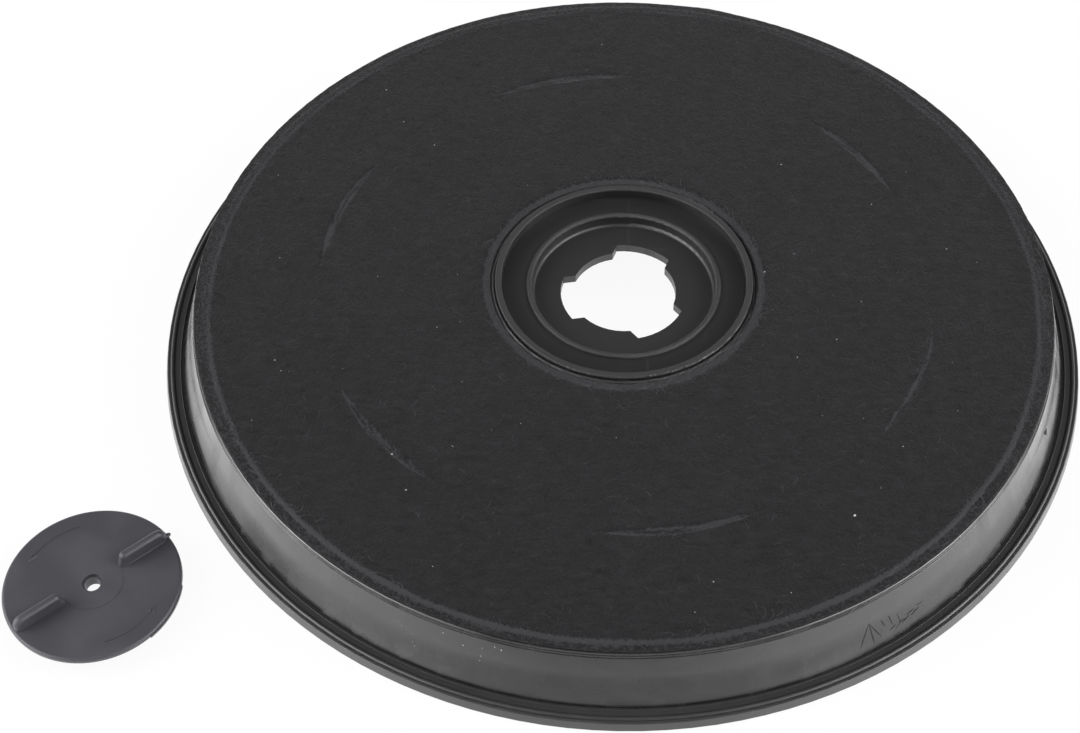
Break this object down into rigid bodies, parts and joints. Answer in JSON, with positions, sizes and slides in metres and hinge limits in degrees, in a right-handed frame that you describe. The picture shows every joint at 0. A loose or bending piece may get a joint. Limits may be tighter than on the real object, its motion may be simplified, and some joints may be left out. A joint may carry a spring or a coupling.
{
  "type": "cooker hood carbon filter",
  "caption": "Round carbon filter for a cooker hood with a fleece face, conical rim, bayonet hub and a finned locking disc lying beside it.",
  "frame": {"origin": "centre of the mouth of the round socket under the hub, on the plane the filter stands on", "axes": "+Z along the filter's axis, from its wide end towards its fleece face; the locking disc lies towards -X and -Y"},
  "size_m": [0.2639, 0.24, 0.0199],
  "materials": {
    "housing_plastic": "black moulded plastic, satin to glossy on the side wall",
    "grille_plastic": "black moulded plastic, satin",
    "disc_plastic": "dark grey moulded plastic, matt",
    "fleece": "black non-woven fleece with welded edges",
    "carbon": "loose activated carbon granules"
  },
  "bodies": {
    "root": {"filter_housing": "housing_plastic", "top_fleece": "fleece", "carbon_bed": "carbon", "bottom_fleece": "fleece", "bottom_grille": "grille_plastic", "locking_disc": "disc_plastic"}
  },
  "joints": []
}
